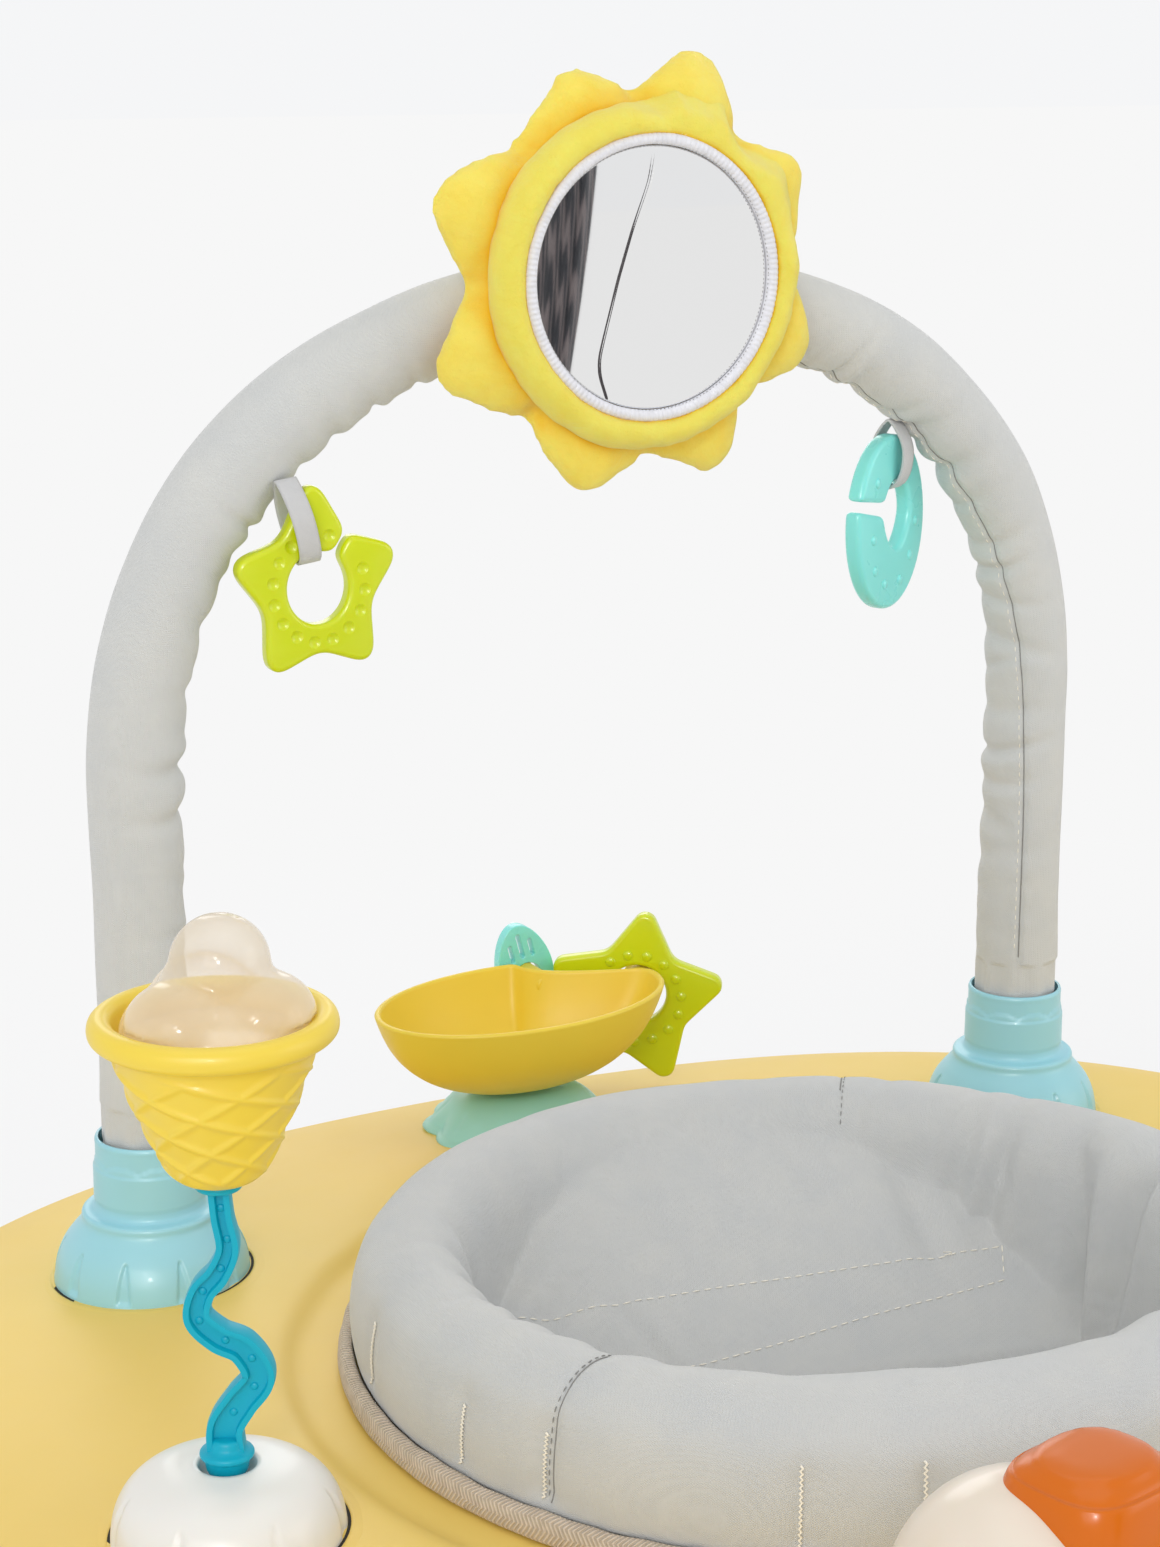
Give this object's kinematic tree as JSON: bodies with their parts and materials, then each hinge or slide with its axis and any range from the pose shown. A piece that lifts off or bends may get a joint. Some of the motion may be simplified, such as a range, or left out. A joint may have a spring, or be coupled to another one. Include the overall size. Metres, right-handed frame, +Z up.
{
  "type": "activity jumper",
  "caption": "Baby activity jumper: lobed play tray on sprung telescopic legs, turning fabric seat, padded toy arch with sun mirror and hanging teethers, and spinning tray toys.",
  "frame": {"origin": "on the floor plane, under the middle of the tray's outline", "axes": "+Z up; the arch's plane is parallel to X and stands towards +Y (rear); the front is -Y"},
  "size_m": [0.764, 0.752, 0.873],
  "materials": {
    "tray_yellow": "satin",
    "shell_white": "satin",
    "seat_fabric": "woven",
    "braid": "herringbone braid",
    "socket_blue": "soft gloss",
    "bowl_mint": "soft gloss",
    "arch_fabric": "woven",
    "tube_steel": "brushed",
    "spring_steel": "bright",
    "rubber_grey": "matte",
    "leg_white": "powder coat",
    "collar_mint": "satin",
    "button_orange": "gloss",
    "sun_plush": "short pile plush",
    "mirror_binding": "ribbed binding",
    "mirror_film": "flexible mirror sheet",
    "teether_green": "soft gloss",
    "teether_turquoise": "soft gloss",
    "strap_grey": "ribbon",
    "stem_teal": "satin",
    "cone_yellow": "satin",
    "scoop_clear": "translucent",
    "pod_white": "soft gloss",
    "bowl_mustard": "satin",
    "chick_cream": "gloss"
  },
  "bodies": {
    "base": {"foot_pad_left": "rubber_grey", "foot_left": "shell_white", "leg_tube_left": "leg_white", "leg_spring_left": "spring_steel", "leg_boot_left": "rubber_grey", "foot_pad_right": "rubber_grey", "foot_right": "shell_white", "leg_tube_right": "leg_white", "leg_spring_right": "spring_steel", "leg_boot_right": "rubber_grey", "foot_pad_front": "rubber_grey", "foot_front": "shell_white", "leg_tube_front": "leg_white", "leg_spring_front": "spring_steel", "leg_boot_front": "rubber_grey", "floor_ring_back": "shell_white", "floor_ring_left": "shell_white", "floor_ring_right": "shell_white"},
    "sprung_sliders": {"slide_tube_left": "tube_steel", "adjust_collar_left": "collar_mint", "slide_tube_right": "tube_steel", "adjust_collar_right": "collar_mint", "slide_tube_front": "tube_steel", "adjust_collar_front": "collar_mint"},
    "button_left": {"height_button_left": "button_orange"},
    "button_right": {"height_button_right": "button_orange"},
    "button_front": {"height_button_front": "button_orange"},
    "tray": {"tray_post_left": "tube_steel", "tray_post_right": "tube_steel", "tray_post_front": "tube_steel", "tray_top": "tray_yellow", "tray_pan": "shell_white", "arch_socket_left": "socket_blue", "arch_socket_right": "socket_blue", "cone_pod": "pod_white", "bowl_pod": "bowl_mint", "chick_pod": "bowl_mint"},
    "seat": {"seat_ring": "shell_white", "seat_fabric": "seat_fabric", "seat_braid": "braid"},
    "arch": {"arch_cover": "arch_fabric", "arch_tube": "shell_white", "arch_plug_left": "shell_white", "arch_plug_right": "shell_white"},
    "sun": {"sun_plush": "sun_plush", "sun_binding": "mirror_binding", "sun_mirror": "mirror_film", "sun_strap": "sun_plush"},
    "star_hang": {"star_teether": "teether_green", "star_strap": "strap_grey"},
    "crescent_hang": {"crescent_teether": "teether_turquoise", "crescent_strap": "strap_grey"},
    "stem": {"wave_stem": "stem_teal"},
    "cone": {"cone_cup": "cone_yellow", "cone_scoops": "scoop_clear"},
    "bowl": {"crescent_bowl": "bowl_mustard"},
    "star_ring": {"bowl_star": "teether_green"},
    "leaf_ring": {"bowl_leaf": "teether_turquoise"},
    "chick": {"chick_body": "chick_cream", "chick_cap": "button_orange"}
  },
  "joints": [
    {"name": "bounce", "type": "slide", "parent": "base", "child": "sprung_sliders", "axis": [0, 0, 1], "range_m": [-0.028, 0], "stiffness_N_per_m": 6000, "springref_m": 0.03, "deforming": ["leg_spring_left", "leg_spring_right", "leg_spring_front", "leg_boot_left", "leg_boot_right", "leg_boot_front"]},
    {"name": "height_adjust", "type": "slide", "parent": "sprung_sliders", "child": "tray", "axis": [0, 0, 1], "range_m": [0, 0.05]},
    {"name": "seat_spin", "type": "hinge", "parent": "tray", "child": "seat", "pos_m": [0, 0.02369, 0.38], "axis": [0, 0, 1], "continuous": true},
    {"name": "arch_lift", "type": "slide", "parent": "tray", "child": "arch", "axis": [0, 0, 1], "range_m": [0, 0.03]},
    {"name": "sun_tilt", "type": "hinge", "parent": "arch", "child": "sun", "pos_m": [0, 0.21069, 0.775], "axis": [1, 0, 0], "range_deg": [-12, 12]},
    {"name": "star_swing", "type": "hinge", "parent": "arch", "child": "star_hang", "pos_m": [-0.152, 0.19229, 0.7055], "axis": [1, 0, 0], "range_deg": [-25, 0]},
    {"name": "crescent_swing", "type": "hinge", "parent": "arch", "child": "crescent_hang", "pos_m": [0.1398, 0.21309, 0.712], "axis": [0.8746, 0.4848, 0], "range_deg": [-3, 22]},
    {"name": "stem_sway", "type": "hinge", "parent": "tray", "child": "stem", "pos_m": [-0.263, -0.01131, 0.41], "axis": [0.451, 0.8925, 0], "range_deg": [-10, 10], "stiffness_Nm_per_rad": 12},
    {"name": "cone_spin", "type": "hinge", "parent": "stem", "child": "cone", "pos_m": [-0.263, -0.01131, 0.511], "axis": [0, 0, 1], "continuous": true},
    {"name": "bowl_turn", "type": "hinge", "parent": "tray", "child": "bowl", "pos_m": [-0.005, 0.29369, 0.405], "axis": [0, 0, 1], "range_deg": [-25, 25]},
    {"name": "star_ring_swing", "type": "hinge", "parent": "bowl", "child": "star_ring", "pos_m": [0.07043, 0.31762, 0.4385], "axis": [0.5299, 0.848, 0], "range_deg": [-15, 15]},
    {"name": "leaf_ring_swing", "type": "hinge", "parent": "bowl", "child": "leaf_ring", "pos_m": [0.0216, 0.34569, 0.4385], "axis": [0, 1, 0], "range_deg": [-20, 20]},
    {"name": "chick_spin", "type": "hinge", "parent": "tray", "child": "chick", "pos_m": [-0.092, -0.23331, 0.386], "axis": [0, 0, 1], "continuous": true},
    {"name": "button_press_left", "type": "slide", "parent": "sprung_sliders", "child": "button_left", "axis": [-0.866, 0.5, 0], "range_m": [-0.003, 0], "stiffness_N_per_m": 300, "springref_m": 0.004},
    {"name": "button_press_right", "type": "slide", "parent": "sprung_sliders", "child": "button_right", "axis": [0.866, 0.5, 0], "range_m": [-0.003, 0], "stiffness_N_per_m": 300, "springref_m": 0.004},
    {"name": "button_press_front", "type": "slide", "parent": "sprung_sliders", "child": "button_front", "axis": [0, -1, 0], "range_m": [-0.003, 0], "stiffness_N_per_m": 300, "springref_m": 0.004}
  ]
}
